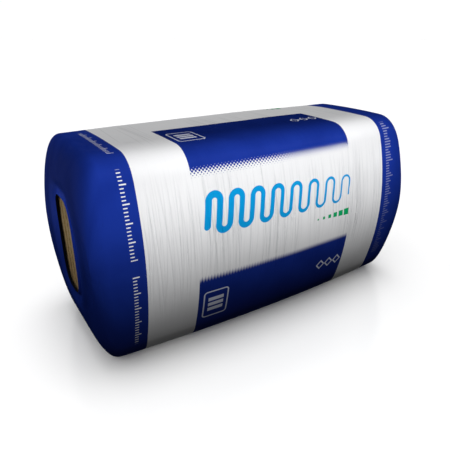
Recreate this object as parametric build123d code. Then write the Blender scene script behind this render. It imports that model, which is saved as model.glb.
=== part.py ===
from build123d import *
import math
import os

# Pack of glass wool boards standing on edge inside one printed shrink-film
# sleeve. Length along X, boards side by side along Y, +Z up, mm.
# Origin: middle of the base, on the floor.

# ---- driving dimensions -------------------------------------------------
HALF_LENGTH = 600.0        # middle of the pack to the flat of the end
SIDE_CORNER = 195.7        # half depth at the corners, at the ends
SIDE_CORNER_GAIN = 26.6    # extra half depth at mid length
SIDE_SAG = 61.3            # swell of the front and back faces
SIDE_SAG_END = 73.0        # the same at the ends
TOP_CORNER = 619.0         # height of the long top edges
TOP_SAG = 5.5              # crown of the top face
TOP_EDGE_R = 53.0          # rounding of the long top edges
BASE_EDGE_R = 58.0         # rounding of the long bottom edges
BASE_PRESS = 0.5           # the base is pressed flat on the floor by this much
EDGE_R_GAIN = 0.32         # the long edges get rounder towards the ends

END_SIDE_X, END_SIDE_IN = 42.5, 37.0     # end rounding towards front and back
END_TOP_X, END_TOP_IN = 63.0, 166.0      # end rounding towards the top
END_BASE_X, END_BASE_IN = 69.0, 192.0    # end rounding towards the base

EYE_HALF_Y = 76.0          # rounded end opening in the film
EYE_HALF_Z = 148.0
EYE_CORNER_R = 60.0
EYE_Z = 326.0
EYE_COLLAR = 12.5          # the film turns in at the opening, to the wool

FILM_T = 1.0               # film, thickened for the model
FILM_GAP = 0.6             # film to wool
BOARD_HALF_LENGTH = 586.5
BOARDS = 12
SEAM = 0.8                 # between neighbouring boards

ARC = 7                    # samples on each rounded edge
STATIONS = [0, 200, 380, 480, 510, 522, 529, 534, 541, 550, 560, 570, 579, 586,
            591.5, 595.5, 598.3, 599.7]


# ---- shape of the wrapped pack -------------------------------------------
def round_in(x, run, depth):
    u = min(max((x - (HALF_LENGTH - run)) / run, 0.0), 1.0)
    return depth * (1.0 - math.sqrt(1.0 - u * u))


def outline(x, inset):
    """Half outline at station x, base middle to top middle, on the -Y side."""
    k = 1.0 - (x / HALF_LENGTH) ** 2
    e = abs(x) + inset
    my = round_in(e, END_SIDE_X, END_SIDE_IN)
    mt = round_in(e, END_TOP_X, END_TOP_IN)
    mb = round_in(e, END_BASE_X, END_BASE_IN)
    a = SIDE_CORNER + SIDE_CORNER_GAIN * k - my - inset
    zt = TOP_CORNER - mt - inset
    zb = mb + inset - BASE_PRESS
    rt = min(TOP_EDGE_R + EDGE_R_GAIN * mt, 0.45 * (zt - zb)) - inset
    rb = min(BASE_EDGE_R + EDGE_R_GAIN * mb, 0.45 * (zt - zb)) - inset
    sag = SIDE_SAG + (SIDE_SAG_END - SIDE_SAG) * my / END_SIDE_IN
    n = ARC
    flat = [(-(a - rb), zb)]
    for i in range(1, n + 1):
        t = 0.5 * math.pi * i / n
        flat.append((-(a - rb) - rb * math.sin(t), zb + rb - rb * math.cos(t)))
    for i in range(1, 2 * n):
        flat.append((-a, zb + rb + (zt - rt - zb - rb) * i / (2 * n)))
    for i in range(n + 1):
        t = 0.5 * math.pi * i / n
        flat.append((-(a - rt) - rt * math.cos(t), zt - rt + rt * math.sin(t)))
    for i in range(1, n + 1):
        flat.append((-(a - rt) * (1 - i / n), zt))
    zm, hb = 0.5 * (zt + zb), 0.5 * (zt - zb)
    out = []
    for y, z in flat:
        v = (z - zm) / hb
        yy = y * (1 + sag / a * max(0.0, 1 - v * v))
        zz = z + TOP_SAG * max(0.0, 1 - (y / a) ** 2) * min(max(v, 0.0), 1.0)
        out.append((yy, zz))
    return out


def curve(pts, start, end):
    """Smooth edge through pts, with set directions at its two ends."""
    n = len(pts) - 1
    a = n * math.dist(pts[0], pts[1]) / math.hypot(*start)
    b = n * math.dist(pts[-2], pts[-1]) / math.hypot(*end)
    return Edge.make_spline(
        pts, tangents=[[a * c for c in start], [b * c for c in end]],
        parameters=[i / n for i in range(n + 1)], scale=False)


def section(x, inset):
    """Closed planar outline: base line, front side, top, back side."""
    h = outline(x, inset)
    n = 4 * ARC
    side = [(x, y, z) for y, z in h[:n + 1]]
    top = [(x, y, z) for y, z in h[n:]]
    top += [(x, -y, z) for _, y, z in reversed(top[:-1])]
    back = [(x, -y, z) for _, y, z in reversed(side)]
    slope = (top[1][2] - top[0][2]) / (top[1][1] - top[0][1])
    up, down = (0, 1, slope), (0, 1, -slope)
    return Wire([
        Edge.make_line(back[-1], side[0]),
        curve(side, (0, -1, 0), up),
        curve(top, up, down),
        curve(back, down, (0, -1, 0))])


def body(inset):
    """Solid of the pack's shape, taken in by inset all round."""
    xs = [-s for s in reversed(STATIONS[1:])] + STATIONS
    shape = Solid.make_loft([section(math.copysign(max(abs(s) - inset, 0), s), inset)
                             for s in xs])
    return shape - Pos(0, 0, inset - 50) * Box(1400, 800, 100)


def eye(x, grow, depth):
    """Prism of the end opening, from x inwards to x + depth."""
    plane = Plane(origin=(x, 0, EYE_Z), x_dir=(0, 1, 0), z_dir=(1, 0, 0))
    face = plane * RectangleRounded(2 * (EYE_HALF_Y + grow), 2 * (EYE_HALF_Z + grow),
                                    EYE_CORNER_R + grow)
    return extrude(face, amount=depth)


def save(shape, name):
    os.makedirs("parts", exist_ok=True)
    shape.label = name
    export_step(shape, os.path.join("parts", name + ".step"))


# ---- film sleeve -----------------------------------------------------------
outer = body(0.0)
inner = body(FILM_T)
print("shapes", outer.is_valid, inner.is_valid, outer.bounding_box())
for side in (-1, 1):
    outer -= eye(side * (HALF_LENGTH + 5), 0.0, -side * (EYE_COLLAR + 5.5))
    inner -= eye(side * (HALF_LENGTH + 5), FILM_T, -side * (EYE_COLLAR + 5))
film = outer - inner
print("film", film.is_valid, len(film.solids()), film.volume)
save(film.solids()[0], "film_wrap")

# ---- boards ----------------------------------------------------------------
def slab(lo, hi):
    """Space between two neighbouring seams, which swell with the pack.

    lo and hi are shares of the half depth, -1 at the front, 1 at the back.
    """
    zm, hb = 0.5 * TOP_CORNER, 0.5 * TOP_CORNER
    wires = []
    for x in (-610, -450, -225, 0, 225, 450, 610):
        a = SIDE_CORNER + SIDE_CORNER_GAIN * (1 - (x / HALF_LENGTH) ** 2)

        def seam(share, shift):
            if abs(share) > 0.999:
                share *= 1.2
            pts = []
            for i in range(13):
                z = -20 + 670 * i / 12
                v = (z - zm) / hb
                pts.append((x, share * (a + SIDE_SAG * (1 - v * v)) + shift, z))
            return pts
        p, q = seam(lo, SEAM / 2), seam(hi, -SEAM / 2)
        u = [i / 12 for i in range(13)]
        e1 = Edge.make_line(p[0], q[0])
        e2 = Edge.make_spline(q, parameters=u)
        e3 = Edge.make_line(q[-1], p[-1])
        e4 = Edge.make_spline(p[::-1], parameters=u)
        wires.append(Wire([e1, e2, e3, e4]))
    return Solid.make_loft(wires)


wool = body(FILM_T + FILM_GAP)
for side in (-1, 1):
    wool -= Pos(side * (BOARD_HALF_LENGTH + 50), 0, 300) * Box(100, 800, 800)
for i in range(BOARDS):
    cell = slab(-1 + 2 * i / BOARDS, -1 + 2 * (i + 1) / BOARDS)
    board = max((wool & cell).solids(), key=lambda s: s.volume)
    print("board", i + 1, board.is_valid, round(board.volume / 1e6, 2))
    save(board, f"board_{i + 1:02d}")
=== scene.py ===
import math

import bpy
import numpy as np
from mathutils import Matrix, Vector


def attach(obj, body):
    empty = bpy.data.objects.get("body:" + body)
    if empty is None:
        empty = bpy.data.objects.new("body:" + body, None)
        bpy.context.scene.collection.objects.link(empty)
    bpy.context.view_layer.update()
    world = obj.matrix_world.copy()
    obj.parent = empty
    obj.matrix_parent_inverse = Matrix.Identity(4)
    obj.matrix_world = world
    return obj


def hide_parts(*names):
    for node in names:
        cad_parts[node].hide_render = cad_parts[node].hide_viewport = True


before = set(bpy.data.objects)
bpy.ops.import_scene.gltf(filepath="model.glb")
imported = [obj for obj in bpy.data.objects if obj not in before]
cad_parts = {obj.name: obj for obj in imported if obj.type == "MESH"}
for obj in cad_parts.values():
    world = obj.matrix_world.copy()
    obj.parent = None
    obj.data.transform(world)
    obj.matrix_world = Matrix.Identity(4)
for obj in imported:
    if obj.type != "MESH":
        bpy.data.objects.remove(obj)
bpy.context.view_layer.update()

scene = bpy.context.scene

# ---------------------------------------------------------------- shape
# The wrapped pack, in metres: length along X, boards side by side along Y.
HALF = 0.600
SIDE_CORNER, SIDE_GAIN, SIDE_SAG, SIDE_SAG_END = 0.1957, 0.0266, 0.0613, 0.0730
TOP_CORNER, TOP_SAG = 0.619, 0.0055
TOP_R, BASE_R, R_GAIN = 0.053, 0.058, 0.32
END_SIDE, END_TOP, END_BASE = (0.0425, 0.037), (0.063, 0.166), (0.069, 0.192)
END_SIDE_FAR, END_BASE_FAR = (0.0390, 0.0270), (0.064, 0.160)     # the far end sits a little fuller
EYE_Y, EYE_H, EYE_Z, EYE_N = 0.0722, 0.1477, 0.3263, 4.0
RIM = 0.0034                # the rim of the opening lies this much inside the end
BOARD_END = 0.5862
BOARDS = 12


def round_in(e, run, depth):
    u = np.clip((e - (HALF - run)) / run, 0, 1)
    return depth * (1 - np.sqrt(1 - u * u))


def measures(x, inset=0.0):
    e = abs(x) + inset
    my, mt, mb = (round_in(e, *r) for r in ((END_SIDE, END_TOP, END_BASE) if x < 0 else (END_SIDE_FAR, END_TOP, END_BASE_FAR)))
    a = SIDE_CORNER + SIDE_GAIN * (1 - (x / HALF) ** 2) - my - inset
    zt, zb = TOP_CORNER - mt - inset, mb + inset
    rt = min(TOP_R + R_GAIN * mt, 0.45 * (zt - zb)) - inset
    rb = min(BASE_R + R_GAIN * mb, 0.45 * (zt - zb)) - inset
    sag = SIDE_SAG + (SIDE_SAG_END - SIDE_SAG) * my / END_SIDE[1]
    return a, zb, zt, rb, rt, sag


def swell(y0, z0, m):
    """Takes the rounded rectangle of a section to its swollen shape."""
    a, zb, zt, rb, rt, sag = m
    v = (z0 - 0.5 * (zt + zb)) / (0.5 * (zt - zb))
    y = y0 * (1 + sag / a * np.maximum(0, 1 - v * v))
    z = z0 + TOP_SAG * np.maximum(0, 1 - (y0 / a) ** 2) * np.clip(v, 0, 1)
    return y, z


N_TOP, N_TOP_ARC, N_SIDE, N_BASE_ARC, N_BASE = 8, 13, 19, 10, 5
SOFT = 2.6                  # the long edges ease into the faces


def half_outline(x, n=(N_TOP, N_TOP_ARC, N_SIDE, N_BASE_ARC, N_BASE)):
    """Front half of the section at x, from the middle of the top to the middle of the base."""
    m = measures(x)
    a, zb, zt, rb, rt, sag = m
    rt, rb = min(1.25 * rt, 0.47 * (zt - zb)), min(1.25 * rb, 0.47 * (zt - zb))
    one = lambda k: np.linspace(0, 1, k, endpoint=False)
    t1, t2, t3, t4, t5 = one(n[0]), one(n[1]) * np.pi / 2, one(n[2]), one(n[3]) * np.pi / 2, np.linspace(0, 1, n[4] + 1)
    e = lambda q: np.abs(q) ** (2 / SOFT)
    y = np.concatenate([-(a - rt) * t1, -(a - rt) - rt * e(np.sin(t2)), np.full(n[2], -a),
                        -(a - rb) - rb * e(np.cos(t4)), -(a - rb) * (1 - t5)])
    z = np.concatenate([np.full(n[0], zt), zt - rt + rt * e(np.cos(t2)), zt - rt + (zb + rb - zt + rt) * t3,
                        zb + rb - rb * e(np.sin(t4)), np.full(n[4] + 1, zb)])
    return swell(y, z, m)


def smooth(lo, hi, x):
    t = np.clip((np.asarray(x, float) - lo) / (hi - lo), 0, 1)
    return t * t * (3 - 2 * t)


def value_noise(rng, u, v, du, dv):
    """Smooth noise of -1 to 1 over u and v, with cells of du by dv."""
    iu, iv = (u - u.min()) / du, (v - v.min()) / dv
    g = rng.uniform(-1, 1, (int(iu.max()) + 5, int(iv.max()) + 5))
    a, b = np.floor(iu).astype(int), np.floor(iv).astype(int)
    p, q = iu - a, iv - b
    w = lambda t: t * t * t * (t * (6 * t - 15) + 10)
    p, q = w(p), w(q)
    return ((g[a, b] * (1 - p) + g[a + 1, b] * p) * (1 - q)
            + (g[a, b + 1] * (1 - p) + g[a + 1, b + 1] * p) * q)


def new_mesh(name, points, faces, smooth_faces=True):
    me = bpy.data.meshes.new(name)
    me.from_pydata([tuple(p) for p in points], [], [tuple(f) for f in faces])
    me.validate()
    me.update()
    me.polygons.foreach_set("use_smooth", [smooth_faces] * len(me.polygons))
    ob = bpy.data.objects.new(name, me)
    scene.collection.objects.link(ob)
    return ob


# ---------------------------------------------------------------- film
END_ROW = 0.5984
LAP = 0.022                 # half width of the lengthwise lap under the base
LAP_END = 0.515


def girth_lengths():
    """Distance round the sleeve from the middle of the top, at mid length."""
    y, z = half_outline(0.0)
    return np.concatenate([[0], np.cumsum(np.hypot(np.diff(y), np.diff(z)))])


GIRTH = girth_lengths()


def girth_at(z):
    """Girth coordinate of a height on the front, at mid length."""
    n = (60, 80, 400, 80, 60)
    y, zz = half_outline(0.0, n)
    g = np.concatenate([[0], np.cumsum(np.hypot(np.diff(y), np.diff(zz)))])
    k = slice(100, 580)
    return float(np.interp(-z, -zz[k], g[k]))


def film_mesh():
    rng = np.random.default_rng(7)
    mid = np.arange(-0.5300, 0.5300 + 1e-9, 0.00172)
    end = END_ROW - (END_ROW - 0.5300) * (1 - np.linspace(0, 1, 31)[1:]) ** 1.45
    xs = np.concatenate([-end[::-1], mid, end])
    half = len(GIRTH)
    ncol = 2 * half - 1
    v = np.concatenate([GIRTH[::-1], -GIRTH[1:]])        # base middle, front, top, back, base middle
    P = np.zeros((len(xs), ncol, 3))
    for i, x in enumerate(xs):
        y, z = half_outline(x)
        P[i, :, 0] = x
        P[i, :, 1] = np.concatenate([y[::-1], -y[1:]])
        P[i, :, 2] = np.concatenate([z[::-1], z[1:]])
    # the lap under the base: the front end of the film goes inside the back end
    w = LAP * (1 - smooth(LAP_END - 0.05, LAP_END - 0.002, np.abs(xs)))
    k = np.arange(N_BASE + 1)
    share = 1 - k / N_BASE
    for i in range(len(xs)):
        P[i, :N_BASE + 1, 1] += w[i] * share ** 2
        P[i, -(N_BASE + 1):, 1] -= w[i] * share[::-1] ** 2
        P[i, :N_BASE + 1, 2] += 0.0009 * (w[i] / LAP) * smooth(-0.05, -0.02, P[i, :N_BASE + 1, 1])
    U = np.repeat(xs[:, None], ncol, 1)
    V = np.repeat(v[None], len(xs), 0)

    # draw lines of the shrunk film: soft folds round the girth, in groups, on the long faces
    z = P[:, :, 2]
    height = np.zeros_like(U)
    # painted shade: this array darkens the white film along the fold valleys; a painted highlight on the lip is added
    # to it further down
    crease_shade_and_lip_highlight = np.zeros_like(U)

    def fold(u, v0, v1, wide, deep, sign, depth):
        lean, bow = rng.normal(0, 0.012), rng.normal(0, 0.004)
        turn = 1 if rng.random() < 0.7 else -1
        t = (sign * V - v0) / (v1 - v0)
        fade = smooth(0, 0.28, t) * (1 - smooth(0.70, 1.0, t))
        d = (U - u - lean * (t - 0.5) - bow * (2 * t - 1) ** 2) / wide
        line = np.exp(-d * d) * fade
        height[:] -= deep * (line - 0.55 * np.exp(-(d - 1.9 * turn) ** 2) * fade)
        crease_shade_and_lip_highlight[:] += deep / depth * np.exp(-(1.25 * d) ** 2) * fade

    def folds(count, groups, v_from, v_to, depth, sign):
        centre = rng.uniform(-0.455, 0.455, groups)
        for i in range(count):
            u = rng.uniform(-0.458, 0.458) if i % 3 == 0 else centre[i % groups] + rng.normal(0, 0.030)
            fold(u, rng.uniform(*v_from), rng.uniform(*v_to), rng.uniform(0.0012, 0.0021),
                 depth * rng.uniform(0.30, 1.0), sign, depth)

    for sign in (1, -1):
        folds(150, 14, (0.235, 0.42), (0.46, 0.70), 0.00070, sign)
        u = -0.452
        while u < 0.456:                                     # an even set on top of the groups
            plain = u < -0.30 or u > 0.29
            if plain or rng.random() < 0.5:
                fold(u, rng.uniform(0.225, 0.32), rng.uniform(0.60, 0.74), rng.uniform(0.0012, 0.0018),
                     0.00080 * rng.uniform(0.35, 1.0) * (1.0 if plain else 0.7), sign, 0.00080)
            u += rng.uniform(0.0065, 0.0125)
    folds(70, 9, (-0.20, -0.10), (0.08, 0.22), 0.00030, 1)
    height += 0.00010 * value_noise(rng, U, V, 0.0052, 0.16) * smooth(0.02, 0.12, z)
    crease_shade_and_lip_highlight = np.clip(crease_shade_and_lip_highlight, 0, 1) * (1 - smooth(0.44, 0.47, np.abs(U)))
    height *= 1 - 0.6 * smooth(0.44, 0.50, np.abs(U))
    # slow unevenness of wool under film
    height += (0.0007 * value_noise(rng, U, V, 0.19, 0.23) + 0.0004 * value_noise(rng, U, V, 0.08, 0.11)) \
        * smooth(0.02, 0.12, z) * (1 - smooth(0.52, 0.58, np.abs(U)))
    du = np.gradient(P, axis=0)
    dv = np.gradient(P, axis=1)
    nrm = np.cross(dv, du)
    nrm /= np.linalg.norm(nrm, axis=2, keepdims=True) + 1e-12
    out = np.sign((nrm * (P - np.array([0, 0, 0.31]))).sum(2, keepdims=True))
    P += nrm * out * height[:, :, None]

    # end caps, from the last section in to the opening, then the edge turned in to the wool
    cap_t = 1 - (1 - np.linspace(0, 1, 41)[1:]) ** 1.6
    roll = np.linspace(0, np.pi / 2, 6)[1:]
    caps = {}
    for sgn in (-1, 1):
        base = P[0 if sgn < 0 else -1]
        rows = []
        y0, z0 = base[:, 1], base[:, 2] - EYE_Z
        k = (np.abs(y0 / EYE_Y) ** EYE_N + np.abs(z0 / EYE_H) ** EYE_N) ** (1 / EYE_N)
        ey, ez = y0 / k, z0 / k
        out = 1 + 0.0025 / np.hypot(ey, ez)               # crest of the rolled edge
        for t in cap_t:
            q = base.copy()
            q[:, 1] += (ey * out - y0) * t
            q[:, 2] += (ez * out - z0) * t
            q[:, 0] = sgn * (HALF - (HALF - END_ROW) * (1 - smooth(0, 0.45, t)) ** 2)
            rows.append(q)
        for r in roll:
            q = base.copy()
            s = 1 + (out - 1) * (1 - np.sin(r))
            q[:, 1], q[:, 2] = ey * s, EYE_Z + ez * s
            q[:, 0] = sgn * (HALF - 0.0022 * (1 - np.cos(r)))
            rows.append(q)
        for d, s in ((0.0040, 0.9985), (0.0055, 0.9985), (0.0070, 1.004), (0.0078, 1.016)):
            q = base.copy()
            q[:, 1], q[:, 2] = ey * s, EYE_Z + ez * s
            q[:, 0] = sgn * (HALF - d)
            rows.append(q)
        caps[sgn] = np.array(rows)

    def dish(Q):
        """The film sinks towards the opening, and stands up in a soft lip at its edge."""
        y, z = Q[..., 1], Q[..., 2] - EYE_Z
        k = (np.abs(y / EYE_Y) ** EYE_N + np.abs(z / EYE_H) ** EYE_N) ** (1 / EYE_N) + 1e-9
        rho = np.maximum(0, (1 - 1 / k)) * np.hypot(y, z)
        upright = smooth(0.75, 1.15, np.abs(z) / EYE_H)
        far = 0.066 - 0.016 * upright
        sink = RIM + (0.0132 - RIM) * smooth(0.0, 0.0135, rho) * (1 - 0.2 * upright)
        sink *= 1 - smooth(0.012, far, rho) ** 0.9
        near = smooth(0.566, 0.592, np.abs(Q[..., 0]))
        Q[..., 0] -= np.sign(Q[..., 0]) * sink * near

    dish(P)
    dish(caps[-1])
    dish(caps[1])

    def around(Q):
        """Distance from the opening, how far it is to the side of it, and the height."""
        y, z = Q[..., 1], Q[..., 2] - EYE_Z
        k = (np.abs(y / EYE_Y) ** EYE_N + np.abs(z / EYE_H) ** EYE_N) ** (1 / EYE_N) + 1e-9
        return np.maximum(0, (1 - 1 / k)) * np.hypot(y, z), smooth(0.25, 0.75, np.abs(y) / (np.abs(y) + 0.5 * np.abs(z) + 1e-9)), z

    def valley_shade(Q):
        """Painted shade: a darker ring a hand's width beside the opening, mostly at its sides."""
        rho, beside, z = around(Q)
        return np.exp(-((rho - 0.098) / 0.034) ** 2) * beside

    step = lambda rows, base: np.concatenate([np.zeros((1, ncol)), np.cumsum(
        np.linalg.norm(np.diff(np.concatenate([base[None], rows]), axis=0), axis=2), axis=0)])[1:]
    near_u, far_u = -END_ROW - step(caps[-1], P[0]), END_ROW + step(caps[1], P[-1])
    rows = np.concatenate([caps[-1][::-1], P, caps[1]])
    UU = np.concatenate([near_u[::-1], U, far_u])
    VV = np.repeat(v[None], len(rows), 0)
    nrow = len(rows)
    past = np.concatenate([np.zeros(len(cap_t)), np.linspace(0, 1, len(roll) + 5)[1:]])    # 0 to 1 past the lip
    ZZ = np.repeat(np.concatenate([past[::-1], np.zeros(len(xs)), past])[:, None], ncol, 1)
    # painted shade beside the opening goes in as negative values
    ZZ[len(past):-len(past)] -= valley_shade(P) * smooth(0.53, 0.575, np.abs(P[..., 0]))
    ZZ[:len(past)] -= valley_shade(caps[-1])[::-1]
    ZZ[-len(past):] -= valley_shade(caps[1])

    # one film: the two lengthwise edges meet in the ends and lap under the base between
    idx = np.arange(nrow * ncol).reshape(nrow, ncol)
    open_row = np.zeros(nrow, bool)
    open_row[len(caps[-1]):len(caps[-1]) + len(xs)] = np.abs(xs) < LAP_END
    use = idx.copy()
    use[~open_row, -1] = idx[~open_row, 0]
    faces = np.stack([use[:-1, :-1], use[:-1, 1:], use[1:, 1:], use[1:, :-1]], -1).reshape(-1, 4)
    cu = np.stack([UU[:-1, :-1], UU[:-1, 1:], UU[1:, 1:], UU[1:, :-1]], -1).reshape(-1, 4)
    cv = np.stack([VV[:-1, :-1], VV[:-1, 1:], VV[1:, 1:], VV[1:, :-1]], -1).reshape(-1, 4)
    keep = np.unique(faces)
    back = -np.ones(nrow * ncol, int)
    back[keep] = np.arange(len(keep))
    me = bpy.data.meshes.new("film_sleeve")
    faces = back[faces]
    me.vertices.add(len(keep))
    me.vertices.foreach_set("co", rows.reshape(-1, 3)[keep].astype(np.float32).ravel())
    me.loops.add(faces.size)
    me.loops.foreach_set("vertex_index", faces.ravel().astype(np.int32))
    me.polygons.add(len(faces))
    me.polygons.foreach_set("loop_start", (np.arange(len(faces)) * 4).astype(np.int32))
    me.polygons.foreach_set("loop_total", np.full(len(faces), 4, np.int32))
    me.update(calc_edges=True)
    me.validate()
    me.polygons.foreach_set("use_smooth", [True] * len(me.polygons))
    uv = me.uv_layers.new(name="print")
    uv.uv.foreach_set("vector", np.stack([cu, cv], -1).astype(np.float32).ravel())
    cz = np.stack([ZZ[:-1, :-1], ZZ[:-1, 1:], ZZ[1:, 1:], ZZ[1:, :-1]], -1).reshape(-1, 4)

    def lip_highlight(Q):
        """Painted highlight: the blue is paler on the lip round the opening, more so on its upper part (kept as
        negative depth).
        """
        rho, beside, z = around(Q)
        return -np.exp(-(np.maximum(rho - 0.004, 0) / (0.0160 + 0.043 * beside)) ** 2) * (0.12 + 0.83 * smooth(-0.13, 0.14, z))
    crease_shade_and_lip_highlight += lip_highlight(P) * smooth(0.53, 0.575, np.abs(P[..., 0]))
    CC = np.concatenate([lip_highlight(caps[-1])[::-1], crease_shade_and_lip_highlight, lip_highlight(caps[1])])
    cc = np.stack([CC[:-1, :-1], CC[:-1, 1:], CC[1:, 1:], CC[1:, :-1]], -1).reshape(-1, 4)
    zone = me.uv_layers.new(name="edge")                   # past the lip or painted shade beside it, and painted shade in the folds or painted highlight on the lip
    zone.uv.foreach_set("vector", np.stack([cz, cc], -1).astype(np.float32).ravel())
    ob = bpy.data.objects.new("film_sleeve", me)
    scene.collection.objects.link(ob)
    return ob


# ---------------------------------------------------------------- node helper
class Nodes:
    def __init__(self, name):
        self.mat = bpy.data.materials.new(name)
        self.mat.use_nodes = True
        self.t = self.mat.node_tree
        self.t.nodes.clear()
        self.out = self.t.nodes.new("ShaderNodeOutputMaterial")
        self.bsdf = self.t.nodes.new("ShaderNodeBsdfPrincipled")
        self.t.links.new(self.bsdf.outputs[0], self.out.inputs[0])

    def put(self, socket, value):
        if isinstance(value, bpy.types.NodeSocket):
            self.t.links.new(value, socket)
        else:
            socket.default_value = value

    def m(self, op, a, b=None, c=None, clamp=False):
        n = self.t.nodes.new("ShaderNodeMath")
        n.operation, n.use_clamp = op, clamp
        for s, x in zip(n.inputs, (a, b, c)):
            if x is not None:
                self.put(s, x)
        return n.outputs[0]

    def add(self, a, b): return self.m("ADD", a, b)
    def sub(self, a, b): return self.m("SUBTRACT", a, b)
    def mul(self, a, b): return self.m("MULTIPLY", a, b)
    def inv(self, a): return self.m("SUBTRACT", 1.0, a)
    def abs(self, a): return self.m("ABSOLUTE", a)
    def both(self, *a):
        r = a[0]
        for x in a[1:]:
            r = self.m("MULTIPLY", r, x)
        return r
    def either(self, *a):
        r = a[0]
        for x in a[1:]:
            r = self.m("MAXIMUM", r, x)
        return r
    def hyp(self, a, b):
        return self.m("SQRT", self.add(self.mul(a, a), self.mul(b, b)))

    def step(self, x, lo, hi, kind="SMOOTHSTEP", to=(0.0, 1.0)):
        n = self.t.nodes.new("ShaderNodeMapRange")
        n.interpolation_type, n.clamp = kind, True
        self.put(n.inputs[0], x)
        self.put(n.inputs[1], lo)
        self.put(n.inputs[2], hi)
        self.put(n.inputs[3], to[0])
        self.put(n.inputs[4], to[1])
        return n.outputs[0]

    def within(self, x, lo, hi, soft=0.0007):
        return self.both(self.step(x, lo - soft, lo + soft), self.inv(self.step(x, hi - soft, hi + soft)))

    def under(self, d, edge, soft=0.0007):
        return self.inv(self.step(d, self.sub(edge, soft) if not isinstance(edge, float) else edge - soft,
                                  self.add(edge, soft) if not isinstance(edge, float) else edge + soft))

    def vec(self, x, y=0.0, z=0.0):
        n = self.t.nodes.new("ShaderNodeCombineXYZ")
        for s, v in zip(n.inputs, (x, y, z)):
            self.put(s, v)
        return n.outputs[0]

    def noise(self, vector, scale=1.0, detail=2.0, rough=0.5, dist=0.0, dim="3D"):
        n = self.t.nodes.new("ShaderNodeTexNoise")
        n.noise_dimensions = dim
        self.put(n.inputs["Vector"], vector)
        for k, x in (("Scale", scale), ("Detail", detail), ("Roughness", rough), ("Distortion", dist)):
            n.inputs[k].default_value = x
        return n.outputs[0]

    def mix(self, f, a, b):
        n = self.t.nodes.new("ShaderNodeMix")
        n.data_type = "RGBA"
        self.put(n.inputs[0], f)
        for s, v in ((n.inputs[6], a), (n.inputs[7], b)):
            self.put(s, (*v, 1.0) if isinstance(v, tuple) else v)
        return n.outputs[2]

    def bump(self, height, strength, distance, normal=None):
        n = self.t.nodes.new("ShaderNodeBump")
        self.put(n.inputs["Strength"], strength)
        self.put(n.inputs["Distance"], distance)
        self.put(n.inputs["Height"], height)
        if normal is not None:
            self.put(n.inputs["Normal"], normal)
        return n.outputs[0]

    def ramp(self, x, *stops):
        n = self.t.nodes.new("ShaderNodeValToRGB")
        e = n.color_ramp.elements
        while len(e) < len(stops):
            e.new(0.5)
        for k, (p, col) in zip(e, stops):
            k.position, k.color = p, (*col, 1.0)
        self.put(n.inputs[0], x)
        return n.outputs[0]


# ---------------------------------------------------------------- film material
NEAR_BAND, FAR_BAND = -0.460, 0.457
PANEL = (-0.304, 0.290)
TOP_PANEL = (-0.0076, girth_at(0.571))
LOW_PANEL = girth_at(0.238)


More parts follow.
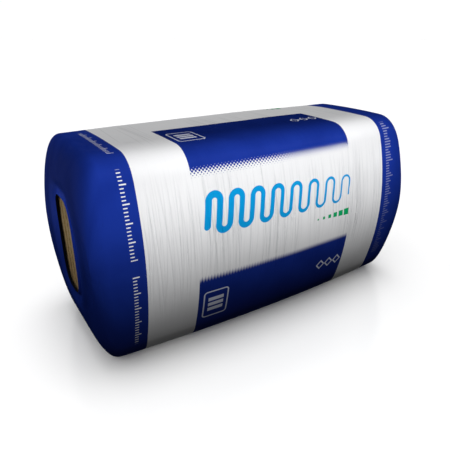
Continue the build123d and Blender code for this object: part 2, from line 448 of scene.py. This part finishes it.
def film_material():
    g = Nodes("printed_film")
    uv = g.t.nodes.new("ShaderNodeUVMap")
    uv.uv_map = "print"
    sep = g.t.nodes.new("ShaderNodeSeparateXYZ")
    g.t.links.new(uv.outputs[0], sep.inputs[0])
    U, V = sep.outputs[0], sep.outputs[1]
    A = g.abs(V)                                  # front and back alike

    white = (0.850, 0.853, 0.866)
    cyan = (0.003, 0.295, 0.660)
    green = (0.004, 0.380, 0.130)
    pale = (0.70, 0.73, 0.84)

    edge_uv = g.t.nodes.new("ShaderNodeUVMap")
    edge_uv.uv_map = "edge"
    edge_sep = g.t.nodes.new("ShaderNodeSeparateXYZ")
    g.t.links.new(edge_uv.outputs[0], edge_sep.inputs[0])

    # draw lines of the film, as fine streaks round the girth
    s1 = g.noise(g.vec(g.mul(U, 150.0), g.mul(V, 3.0)), 1.0, 2.0, 0.55)
    s2 = g.noise(g.vec(g.mul(U, 420.0), g.mul(V, 5.0), 4.0), 1.0, 2.0, 0.6)
    patch = g.step(g.noise(g.vec(g.mul(U, 14.0), g.mul(V, 4.5), 9.0), 1.0, 2.0, 0.5), 0.36, 0.62)
    face = g.both(g.step(A, 0.235, 0.300), g.inv(g.step(A, 0.66, 0.76)))
    zone = g.add(g.mul(face, 0.8), 0.2)
    # painted shade: grey lines on the white film stand in for shade in the draw-line creases
    crease_lines_shade = g.both(g.inv(g.step(s1, 0.30, 0.44)), patch, zone)
    hair_lines_shade = g.both(g.inv(g.step(s2, 0.34, 0.46)), zone)

    # bands at both ends, panels between
    bands = g.either(g.inv(g.step(U, NEAR_BAND - 0.0006, NEAR_BAND + 0.0006)),
                     g.step(U, FAR_BAND - 0.0006, FAR_BAND + 0.0006))
    across = g.within(U, *PANEL)
    top = g.within(V, *TOP_PANEL)
    # dots that thin out below the top panel and above the lower one
    pitch = 0.0078
    k = 1.0 / (pitch * math.sqrt(2.0))

    def dots(v, start, run):
        p = g.sub(g.m("FRACT", g.mul(g.add(U, v), k)), 0.5)
        q = g.sub(g.m("FRACT", g.mul(g.sub(U, v), k)), 0.5)
        radius = g.step(g.mul(g.sub(v, start), 1 / run), -0.12, 1.0, "LINEAR", (0.70, 0.08))
        lo, hi = sorted((start, start + run))
        return g.both(g.under(g.hyp(p, q), radius, 0.06), g.within(v, lo - 0.001, hi + 0.001, 0.0004))
    tooth = g.m("ABSOLUTE", g.sub(g.mul(g.m("FRACT", g.mul(U, 1 / 0.0102)), 2.0), 1.0))
    rise = g.sub(LOW_PANEL, g.step(U, -0.30, 0.16, "LINEAR", (0.0040, 0.0078)))
    rise = g.sub(rise, g.mul(tooth, g.step(U, -0.30, 0.05, "LINEAR", (0.0085, 0.0))))
    low = g.step(A, g.sub(rise, 0.0120), g.add(rise, 0.0105))
    fades = dots(V, TOP_PANEL[1], 0.028)
    ink = g.either(bands, g.both(across, g.either(top, low, fades)))

    # one row of loops, the drafting sign for an insulating layer, thick to thin
    u0, u1, vc, P = -0.286, 0.298, 0.402, 0.0730
    dv = g.sub(A, g.step(U, u0, u1, "LINEAR", (vc - 0.010, vc + 0.012)))
    ua = g.sub(g.add(U, g.mul(dv, 0.16)), u0)
    h = g.step(ua, 0.0, u1 - u0, "LINEAR", (0.036, 0.022))
    w = g.step(ua, 0.0, u1 - u0, "LINEAR", (0.0108, 0.0030))
    c = g.sub(g.mul(g.m("FRACT", g.mul(ua, 1 / P)), P), P / 2)
    ca = g.abs(c)
    legs = g.abs(g.sub(ca, P / 4))
    crown = g.abs(g.sub(g.hyp(c, g.add(dv, h)), P / 4))
    foot = g.abs(g.sub(g.hyp(g.sub(ca, P / 2), g.sub(dv, h)), P / 4))
    tip = g.hyp(g.sub(ca, P / 4), g.sub(dv, h))
    last = u1 - u0
    ends = g.either(g.m("LESS_THAN", ua, P / 2), g.m("GREATER_THAN", ua, last - P / 2))
    ends = g.both(ends, g.either(g.m("LESS_THAN", ua, 0.42 * P), g.m("GREATER_THAN", ua, last - 0.42 * P)),
                  g.either(g.both(g.m("LESS_THAN", c, 0.0), g.m("LESS_THAN", ua, P / 2)),
                           g.both(g.m("GREATER_THAN", c, 0.0), g.m("GREATER_THAN", ua, last - P / 2))))
    foot = g.add(g.mul(ends, tip), g.mul(g.inv(ends), foot))
    up, down = g.m("LESS_THAN", dv, g.mul(h, -1.0)), g.m("GREATER_THAN", dv, h)
    d = g.add(g.add(g.mul(up, crown), g.mul(down, foot)), g.mul(g.sub(g.inv(up), down), legs))
    loops = g.both(g.under(d, w), g.within(ua, 0.0, last), g.within(dv, -0.072, 0.072))

    # plain squares, small to large
    def squares(v, centre_u, centre_v, n, pitch, sizes):
        lo = centre_u - pitch * n / 2
        f = g.abs(g.sub(g.mul(g.m("FRACT", g.mul(g.sub(U, lo), 1 / pitch)), pitch), pitch / 2))
        part = g.m("FLOOR", g.mul(g.sub(U, lo), 1 / pitch))
        half = g.step(part, 0.0, n - 1.0, "LINEAR", sizes)
        return g.both(g.under(g.m("MAXIMUM", f, g.abs(g.sub(v, centre_v))), half),
                      g.within(U, lo, lo + n * pitch))
    greens = g.either(squares(A, 0.204, 0.497, 6, 0.0262, (0.0030, 0.0115)), squares(V, 0.2700, -0.1520, 3, 0.0250, (0.004, 0.011)))

    # plain white graduations on the near band
    span = g.either(g.within(V, -0.108, 0.175), g.within(A, 0.236, 0.476), g.within(A, 0.522, 0.764))
    n10 = g.abs(g.sub(g.m("FRACT", g.mul(V, 100.0)), 0.5))
    n50 = g.abs(g.sub(g.m("FRACT", g.mul(V, 20.0)), 0.5))
    tick = g.both(g.under(n10, 0.145, 0.05), g.within(U, -0.4985, -0.4875))
    long_tick = g.both(g.under(n50, 0.036, 0.010), g.within(U, -0.4985, -0.4800))
    ticks = g.both(span, g.either(tick, long_tick))

    # pale bars on the far band
    row = g.m("FLOOR", g.mul(A, 105.0))
    rnd = g.t.nodes.new("ShaderNodeTexWhiteNoise")
    rnd.noise_dimensions = "1D"
    g.t.links.new(row, rnd.inputs["W"])
    reach = g.add(0.492, g.mul(rnd.outputs[0], 0.030))
    bar = g.both(g.under(g.abs(g.sub(g.m("FRACT", g.mul(A, 105.0)), 0.5)), 0.20, 0.06), g.step(U, 0.4795, 0.4805),
                 g.m("LESS_THAN", U, reach), g.within(A, 0.215, 0.735))

    # a plain frame with a stack of three slabs
    def stack_sign(cu, cv, v):
        x, y = g.abs(g.sub(U, cu)), g.sub(v, cv)
        bx, by = g.m("MAXIMUM", g.sub(x, 0.031), 0.0), g.m("MAXIMUM", g.sub(g.abs(y), 0.040), 0.0)
        box = g.abs(g.sub(g.hyp(bx, by), 0.010))
        frame_line = g.under(box, 0.0022)
        slab = g.abs(g.sub(g.mul(g.m("FRACT", g.mul(g.add(y, 0.030), 1 / 0.020)), 0.020), 0.010))
        slabs = g.both(g.under(slab, 0.0066), g.within(x, -1.0, 0.0265), g.within(y, -0.030, 0.030))
        return g.either(frame_line, slabs)

    # plain diamonds
    def diamonds(cu, cv, v):
        lo, pitch = cu - 0.0600, 0.0400
        f = g.abs(g.sub(g.mul(g.m("FRACT", g.mul(g.sub(U, lo), 1 / pitch)), pitch), pitch / 2))
        r = g.add(f, g.abs(g.sub(v, cv)))
        return g.both(g.under(g.abs(g.sub(r, 0.0168)), 0.0034), g.within(U, lo, lo + 3 * pitch))

    signs = g.either(stack_sign(-0.2440, 0.692, A), stack_sign(-0.2440, 0.103, V),
                     diamonds(0.2220, 0.684, A), diamonds(0.2240, 0.085, V))

    # painted shade on the white film, from the crease lines, fine lines and fold valleys
    painted_shade_on_white = g.add(g.add(g.mul(crease_lines_shade, 0.15), g.mul(hair_lines_shade, 0.06)), g.mul(g.m("MAXIMUM", edge_sep.outputs[1], 0.0), 0.36))
    upper_middle_shade = g.mul(g.mul(g.step(U, -0.34, -0.22), g.inv(g.step(A, 0.36, 0.52))), g.step(A, 0.20, 0.27))
    painted_shade_on_white = g.add(painted_shade_on_white, g.mul(upper_middle_shade, 0.12))                   # painted shade: the white film is greyer in the upper middle
    col = g.mix(painted_shade_on_white, white, (0.40, 0.41, 0.43))
    col = g.mix(loops, col, cyan)
    col = g.mix(greens, col, green)
    tone = g.noise(g.vec(g.mul(U, 9.0), g.mul(V, 9.0), 2.0), 1.0, 3.0, 0.5)
    deep = g.mix(g.step(tone, 0.3, 0.7), (0.0084, 0.0295, 0.274), (0.0103, 0.0352, 0.314))
    shade = g.mul(g.inv(g.mul(across, g.step(A, 0.10, 0.27, "LINEAR", (0.42, 0.05)))), g.step(A, 0.32, 0.56, "LINEAR", (1.0, 0.78)))
    shade = g.mul(shade, g.step(U, 0.500, 0.575, "LINEAR", (1.0, 0.72)))
    deep = g.mix(shade, (0.0, 0.0, 0.0), deep)                 # painted shade: the blue is darker on the top panel, low down and at the far end
    # painted shade: the blue is darker in a ring beside the opening
    valley_shade_amount = g.m("MAXIMUM", g.mul(edge_sep.outputs[0], -1.0), 0.0)
    deep = g.mix(g.mul(valley_shade_amount, 0.26), deep, (0.0, 0.0, 0.0))
    lip_highlight_amount = g.m("MAXIMUM", g.mul(edge_sep.outputs[1], -1.0), 0.0)
    deep = g.mix(lip_highlight_amount, deep, (0.0250, 0.0820, 0.700))          # painted highlight: the blue is paler on the lip round the opening
    col = g.mix(ink, col, deep)
    col = g.mix(g.mul(signs, 0.92), col, pale)
    col = g.mix(ticks, col, (0.84, 0.85, 0.87))
    col = g.mix(g.mul(bar, g.step(A, 0.25, 0.62, "LINEAR", (0.36, 0.13))), col, pale)
    col = g.mix(g.step(edge_sep.outputs[0], 0.05, 0.30), col, (0.004, 0.005, 0.010))    # painted shade: the turned-in edge at the opening is near black
    g.put(g.bsdf.inputs["Base Color"], col)
    rough = g.step(g.noise(g.vec(g.mul(U, 60.0), g.mul(V, 20.0), 5.0), 1.0, 3.0, 0.6), 0.25, 0.75, "LINEAR", (0.46, 0.56))
    g.put(g.bsdf.inputs["Roughness"], rough)
    g.bsdf.inputs["Specular IOR Level"].default_value = 0.16
    line = g.add(g.mul(s1, g.both(patch, 0.8)), g.mul(s2, 0.35))
    fine = g.noise(g.vec(g.mul(U, 700.0), g.mul(V, 500.0), 1.0), 1.0, 2.0, 0.6)
    n1 = g.bump(g.mul(line, zone), 0.35, 0.0009)
    n2 = g.bump(fine, 0.05, 0.0006, n1)
    g.put(g.bsdf.inputs["Normal"], n2)
    return g.mat


# ---------------------------------------------------------------- boards
def board_mesh(i, fine):
    """One wool board: an equal share of the pack's depth, its ends torn by the saw."""
    rng = np.random.default_rng(100 + i)
    inset = 0.0020
    q0, q1 = -1 + 2 * i / BOARDS, -1 + 2 * (i + 1) / BOARDS
    npp, nz = (16, 150) if fine else (6, 44)
    xs = np.concatenate([[-BOARD_END, -0.580, -0.574, -0.565, -0.55], np.linspace(-0.52, 0.52, 15),
                         [0.55, 0.565, 0.574, 0.580, BOARD_END]])
    p = np.linspace(0, 1, npp + 1)
    s = np.linspace(0, 1, nz + 1)

    def place(x, p, s):
        a, zb, zt, rb, rt, sag = m = measures(x, inset)
        gap = (0.00004 + 0.00056 * float(smooth(0.555, BOARD_END, abs(x)))) / a     # closed inside, open at the ends
        y0 = a * (q0 + gap + (q1 - q0 - 2 * gap) * p)
        def corner(r):
            over = np.clip(np.abs(y0) - (a - r), 0, r)
            return r - np.sqrt(np.maximum(r * r - over * over, 0))
        lo, hi = zb + corner(rb), zt - corner(rt)
        return swell(y0, lo + s * (hi - lo), m)

    ring = [(pp, 0.0) for pp in p] + [(1.0, ss) for ss in s[1:]] + [(pp, 1.0) for pp in p[::-1][1:]] + [(0.0, ss) for ss in s[::-1][1:-1]]
    rp, rs = np.array(ring).T
    pts, faces = [], []
    for x in xs:
        y, z = place(x, rp, rs)
        pts.append(np.stack([np.full_like(y, x), y, z], 1))
    n = len(ring)
    pts = np.concatenate(pts)
    for k in range(len(xs) - 1):
        for j in range(n):
            j2 = (j + 1) % n
            faces.append((k * n + j, k * n + j2, (k + 1) * n + j2, (k + 1) * n + j))
    where = {}
    for j, (pp, ss) in enumerate(ring):
        where[(round(pp * npp), round(ss * nz))] = j
    all_pts, inner_p = [pts], []
    count = len(pts)
    for side, x in ((-1, -BOARD_END), (1, BOARD_END)):
        base = 0 if side < 0 else (len(xs) - 1) * n
        PP, SS = np.meshgrid(p, s, indexing="ij")
        y, z = place(x, PP, SS)
        # fibres lie in sheets along the board, so an end is a pile of ragged upright layers
        ragged = (0.50 * value_noise(rng, y, z, 0.0046, 0.014) + 0.40 * value_noise(rng, y, z, 0.0085, 0.0085)
                  + 0.35 * value_noise(rng, y, z, 0.018, 0.040))
        rim = np.minimum(np.minimum(PP, 1 - PP) * npp, 1.0)
        depth = 0.0011 + 0.0013 * ragged + 0.0018 * (1 - rim)
        number = {}
        inner, tone_p = [], []
        for a in range(npp + 1):
            for b in range(nz + 1):
                if (a, b) in where:
                    number[a, b] = base + where[a, b]
                else:
                    number[a, b] = count + len(inner)
                    inner.append((x - side * max(depth[a, b], 0.0), y[a, b], z[a, b]))
                    tone_p.append(p[a])
        all_pts.append(np.array(inner))
        inner_p.append(np.array(tone_p))
        count += len(inner)
        for a in range(npp):
            for b in range(nz):
                f = (number[a, b], number[a + 1, b], number[a + 1, b + 1], number[a, b + 1])
                faces.append(f if side > 0 else f[::-1])
    ob = new_mesh(f"wool_board_{i + 1:02d}", np.concatenate(all_pts), faces)
    share = np.concatenate([np.tile(rp, len(xs)), *inner_p])
    vi = np.zeros(len(ob.data.loops), np.int32)
    ob.data.loops.foreach_get("vertex_index", vi)
    uv = ob.data.uv_layers.new(name="across")              # share of the thickness, and the board's own tone
    uv.uv.foreach_set("vector", np.stack([share[vi], np.full(len(vi), rng.uniform(0, 1))], -1).astype(np.float32).ravel())
    return ob


def wool_material():
    g = Nodes("glass_wool")
    tc = g.t.nodes.new("ShaderNodeTexCoord")
    sep = g.t.nodes.new("ShaderNodeSeparateXYZ")
    g.t.links.new(tc.outputs["Object"], sep.inputs[0])
    x, y, z = sep.outputs
    warp = g.noise(g.vec(g.mul(x, 26.0), g.mul(y, 40.0), g.mul(z, 26.0)), 1.0, 3.0)
    layer = g.noise(g.vec(g.mul(x, 26.0), g.add(g.mul(y, 330.0), g.mul(warp, 5.0)), g.mul(z, 30.0)), 1.0, 4.0, 0.65)
    wide = g.noise(g.vec(g.mul(x, 3.0), g.mul(y, 46.0), g.mul(z, 3.0)), 1.0, 2.0, 0.5)
    tuft = g.noise(g.vec(g.mul(x, 95.0), g.mul(y, 150.0), g.mul(z, 95.0)), 1.0, 4.0, 0.6, 0.6)
    fibre = g.noise(g.vec(g.mul(x, 330.0), g.mul(y, 900.0), g.mul(z, 330.0)), 1.0, 3.0, 0.7, 0.8)
    uv = g.t.nodes.new("ShaderNodeUVMap")
    uv.uv_map = "across"
    part = g.t.nodes.new("ShaderNodeSeparateXYZ")
    g.t.links.new(uv.outputs[0], part.inputs[0])
    skin = g.abs(g.sub(part.outputs[0], g.step(part.outputs[1], 0.0, 1.0, "LINEAR", (0.36, 0.64))))
    body = g.step(skin, 0.22, 0.62, "SMOOTHSTEP", (0.06, -0.17))
    # painted shade: the wool is darker low down
    body = g.sub(body, g.step(z, 0.20, 0.36, "SMOOTHSTEP", (0.085, 0.0)))
    tone = g.add(g.add(g.add(g.mul(layer, 0.32), g.mul(wide, 0.22)), g.add(g.mul(fibre, 0.28), g.mul(tuft, 0.34))), body)
    col = g.ramp(g.step(tone, 0.38, 0.78, "LINEAR"),
                 (0.0, (0.170, 0.088, 0.021)), (0.4, (0.430, 0.265, 0.085)), (0.7, (0.670, 0.475, 0.205)), (1.0, (0.830, 0.680, 0.410)))
    g.put(g.bsdf.inputs["Base Color"], col)
    g.bsdf.inputs["Roughness"].default_value = 0.9
    g.bsdf.inputs["Specular IOR Level"].default_value = 0.15
    g.bsdf.inputs["Sheen Weight"].default_value = 0.15
    g.bsdf.inputs["Sheen Roughness"].default_value = 0.5
    n1 = g.bump(g.add(g.mul(layer, 0.6), g.mul(tuft, 0.8)), 0.6, 0.005)
    g.put(g.bsdf.inputs["Normal"], g.bump(fibre, 0.6, 0.002, n1))
    return g.mat


film = film_mesh()
film.data.materials.append(film_material())
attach(film, "root")
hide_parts("film_wrap")

wool = wool_material()
boards = []
for i in range(BOARDS):
    b = board_mesh(i, 3 <= i <= 8)
    b.data.materials.append(wool)
    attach(b, "root")
    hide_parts(f"board_{i + 1:02d}")
    boards.append(b)

# ---------------------------------------------------------------- stage
def disc(name, radius, z, n=96):
    t = np.linspace(0, 2 * np.pi, n, endpoint=False)
    pts = [(radius * math.cos(a), radius * math.sin(a), z) for a in t]
    ob = new_mesh(name, pts, [tuple(range(n))], False)
    return ob


floor = disc("floor", 42.0, 0.0)
fm = Nodes("floor_pale")
fm.bsdf.inputs["Base Color"].default_value = (0.93, 0.93, 0.93, 1)
fm.bsdf.inputs["Roughness"].default_value = 0.16
fm.bsdf.inputs["Specular IOR Level"].default_value = 0.45
floor.data.materials.append(fm.mat)
floor.visible_diffuse = False
floor.visible_glossy = False

bpy.ops.mesh.primitive_uv_sphere_add(segments=64, ring_count=32, radius=44.0)
dome = bpy.context.object
dome.name = "backdrop"
dm = bpy.data.materials.new("backdrop_white")
dm.use_nodes = True
dm.node_tree.nodes.clear()
em = dm.node_tree.nodes.new("ShaderNodeEmission")
em.inputs[0].default_value = (1, 1, 1, 1)
em.inputs[1].default_value = 1.02
mo = dm.node_tree.nodes.new("ShaderNodeOutputMaterial")
dm.node_tree.links.new(em.outputs[0], mo.inputs[0])
dome.data.materials.append(dm)
for flag in ("visible_diffuse", "visible_transmission", "visible_volume_scatter", "visible_shadow"):
    setattr(dome, flag, False)
dm.cycles.emission_sampling = "NONE"

world = bpy.data.worlds.new("studio")
world.use_nodes = True
bg = world.node_tree.nodes["Background"]
bg.inputs[0].default_value = (1, 1, 1, 1)
bg.inputs[1].default_value = 0.046
scene.world = world

on_pack = bpy.data.collections.new("lit_pack")
for o in (film, *boards):
    on_pack.objects.link(o)
on_floor = bpy.data.collections.new("lit_floor")
on_floor.objects.link(floor)
dome.light_linking.receiver_collection = on_floor


def lamp(name, kind, energy, place, target, receivers, **extra):
    data = bpy.data.lights.new(name, kind)
    data.energy = energy
    for k, x in extra.items():
        setattr(data, k, x)
    ob = bpy.data.objects.new(name, data)
    scene.collection.objects.link(ob)
    ob.location = place
    ob.rotation_euler = (Vector(target) - Vector(place)).to_track_quat("-Z", "Y").to_euler()
    ob.light_linking.receiver_collection = receivers
    ob.visible_camera = False
    ob.visible_glossy = False
    return ob


lamp("strip", "AREA", 33.8, (0.449, -0.530, 0.913), (0.449, -0.877, 0.384), on_pack, shape="RECTANGLE", size=3.0, size_y=0.30)
lamp("end_card", "AREA", 0.60, (-0.890, 0.250, 0.450), (-0.6, 0.0, 0.35), on_pack, shape="RECTANGLE", size=0.5, size_y=0.5)
lamp("top_light", "AREA", 36.0, (0.0, 0.245, 3.198), (0.0, 0.0, 0.4), on_pack, shape="RECTANGLE", size=1.8, size_y=0.8)
lamp("back_fill", "AREA", 24.0, (0.2, 2.4, 0.90), (0.0, 0.0, 0.30), on_pack, shape="RECTANGLE", size=2.0, size_y=0.8)
lamp("sky_wide", "SUN", 2.72, (-1.98, -1.23, 5.53), (0, 0, 0), on_floor, angle=math.radians(133))
lamp("sky_top", "SUN", 1.11, (0.46, 0.11, 5.98), (0, 0, 0), on_floor, angle=math.radians(30))

cam = bpy.data.cameras.new("camera")
cam.lens, cam.sensor_width, cam.sensor_fit = 36.0, 36.0, "HORIZONTAL"
cam.clip_start, cam.clip_end = 0.01, 200.0
co = bpy.data.objects.new("camera", cam)
scene.collection.objects.link(co)
co.location = (-0.84531, -1.25651, 0.91103)
co.rotation_euler = (Vector((0.02772, 0.11058, 0.20070)) - co.location).to_track_quat("-Z", "Y").to_euler()
scene.camera = co
scene.view_settings.view_transform = "Standard"
scene.view_settings.look = "None"
